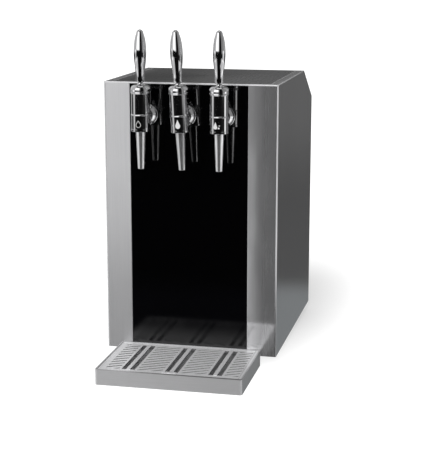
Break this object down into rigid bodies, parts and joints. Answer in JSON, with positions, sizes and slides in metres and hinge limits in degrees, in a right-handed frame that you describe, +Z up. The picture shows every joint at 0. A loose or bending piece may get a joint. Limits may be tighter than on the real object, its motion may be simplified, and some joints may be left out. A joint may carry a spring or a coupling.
{
  "type": "countertop drinks dispenser",
  "caption": "Countertop chilled-drinks dispenser: brushed stainless cabinet with black glass front, chrome lever taps and a slide-out drip tray with a lift-off grille.",
  "frame": {"origin": "on the worktop, under the middle of the whole object's bounding box", "axes": "+X to the right seen from the front, +Y to the back, +Z up"},
  "size_m": [0.3, 0.563, 0.5726],
  "materials": {
    "stainless": "brushed",
    "black_glass": "mirror gloss, backed black",
    "galvanised_steel": "zinc coated",
    "rubber": "matt",
    "chrome": "polished",
    "white_plastic": "moulded",
    "foam": "closed-cell foam",
    "copper": "drawn copper",
    "steel_pipe": "drawn",
    "brass": "turned",
    "black_paint": "semi-gloss",
    "fin_aluminium": "thin sheet",
    "black_plastic": "fine texture"
  },
  "bodies": {
    "cabinet": {"agitator_motor": "galvanised_steel", "base_pan": "galvanised_steel", "black_panel": "black_glass", "carbonator": "stainless", "cold_tank": "white_plastic", "compressor": "black_paint", "compressor_mounts": "rubber", "condenser": "fin_aluminium", "control_box": "galvanised_steel", "cover_screws": "chrome", "evaporator_coil": "copper", "fan_motor": "galvanised_steel", "fan_shroud": "black_plastic", "feed_pipes": "steel_pipe", "front_strip_left": "stainless", "front_strip_right": "stainless", "inlet_fittings": "brass", "machine_shelf": "galvanised_steel", "mains_inlet": "black_plastic", "product_coils": "steel_pipe", "pump": "black_paint", "pump_cradle": "galvanised_steel", "rear_panel": "stainless", "rear_slope_cover": "stainless", "roof_cover": "stainless", "rubber_feet": "rubber", "side_panel_left": "stainless", "side_panel_right": "stainless", "switch_frame": "black_plastic", "tank_foam": "foam", "tank_lid": "white_plastic", "tap_centre_body": "chrome", "tap_centre_bonnet": "chrome", "tap_centre_shank": "chrome", "tap_centre_spout": "chrome", "tap_left_body": "chrome", "tap_left_bonnet": "chrome", "tap_left_shank": "chrome", "tap_left_spout": "chrome", "tap_nuts": "chrome", "tap_plate": "galvanised_steel", "tap_right_body": "chrome", "tap_right_bonnet": "chrome", "tap_right_shank": "chrome", "tap_right_spout": "chrome", "thermostat": "black_plastic", "top_trim": "stainless", "valve_block": "brass"},
    "drip_tray": {"drip_tray": "stainless"},
    "drip_grille": {"drip_grille": "stainless"},
    "fan_rotor": {"fan_rotor": "black_plastic"},
    "agitator": {"agitator_impeller": "white_plastic"},
    "thermostat_knob": {"thermostat_knob": "black_plastic"},
    "power_rocker": {"power_rocker": "black_plastic"},
    "lever_left": {"tap_left_lever": "chrome"},
    "plunger_left": {"tap_left_plunger": "white_plastic"},
    "lever_centre": {"tap_centre_lever": "chrome"},
    "plunger_centre": {"tap_centre_plunger": "white_plastic"},
    "lever_right": {"tap_right_lever": "chrome"},
    "plunger_right": {"tap_right_plunger": "white_plastic"}
  },
  "joints": [
    {"name": "lever_left_tilt", "type": "hinge", "parent": "cabinet", "child": "lever_left", "pos_m": [-0.0728, -0.1645, 0.479], "axis": [1, 0, 0], "range_deg": [0, 28]},
    {"name": "plunger_left_lift", "type": "slide", "parent": "cabinet", "child": "plunger_left", "axis": [0, 0, 1], "range_m": [0, 0.00165]},
    {"name": "lever_centre_tilt", "type": "hinge", "parent": "cabinet", "child": "lever_centre", "pos_m": [-0.00879, -0.1645, 0.47895], "axis": [0.999, 0, 0.0454], "range_deg": [0, 28]},
    {"name": "plunger_centre_lift", "type": "slide", "parent": "cabinet", "child": "plunger_centre", "axis": [-0.0454, 0, 0.999], "range_m": [0, 0.00165]},
    {"name": "lever_right_tilt", "type": "hinge", "parent": "cabinet", "child": "lever_right", "pos_m": [0.0598, -0.1645, 0.479], "axis": [1, 0, 0], "range_deg": [0, 28]},
    {"name": "plunger_right_lift", "type": "slide", "parent": "cabinet", "child": "plunger_right", "axis": [0, 0, 1], "range_m": [0, 0.00165]},
    {"name": "tray_slide", "type": "slide", "parent": "cabinet", "child": "drip_tray", "axis": [0, -1, 0], "range_m": [0, 0.15]},
    {"name": "grille_lift", "type": "slide", "parent": "drip_tray", "child": "drip_grille", "axis": [0, 0, 1], "range_m": [0, 0.04]},
    {"name": "fan_spin", "type": "hinge", "parent": "cabinet", "child": "fan_rotor", "pos_m": [0.07, 0.2415, 0.1056], "axis": [0, 1, 0], "continuous": true},
    {"name": "agitator_spin", "type": "hinge", "parent": "cabinet", "child": "agitator", "pos_m": [0.02665, 0.0315, 0.3], "axis": [0, 0, 1], "continuous": true},
    {"name": "thermostat_turn", "type": "hinge", "parent": "cabinet", "child": "thermostat_knob", "pos_m": [0.092, 0.2615, 0.3156], "axis": [0, 1, 0], "range_deg": [0, 270]},
    {"name": "rocker_tip", "type": "hinge", "parent": "cabinet", "child": "power_rocker", "pos_m": [0.092, 0.2585, 0.3606], "axis": [1, 0, 0], "range_deg": [0, 20]}
  ],
  "couplings": [
    {"joint": "plunger_left_lift", "follows": "lever_left_tilt", "m_per_rad": 0.0033533},
    {"joint": "plunger_centre_lift", "follows": "lever_centre_tilt", "m_per_rad": 0.0033533},
    {"joint": "plunger_right_lift", "follows": "lever_right_tilt", "m_per_rad": 0.0033533}
  ]
}
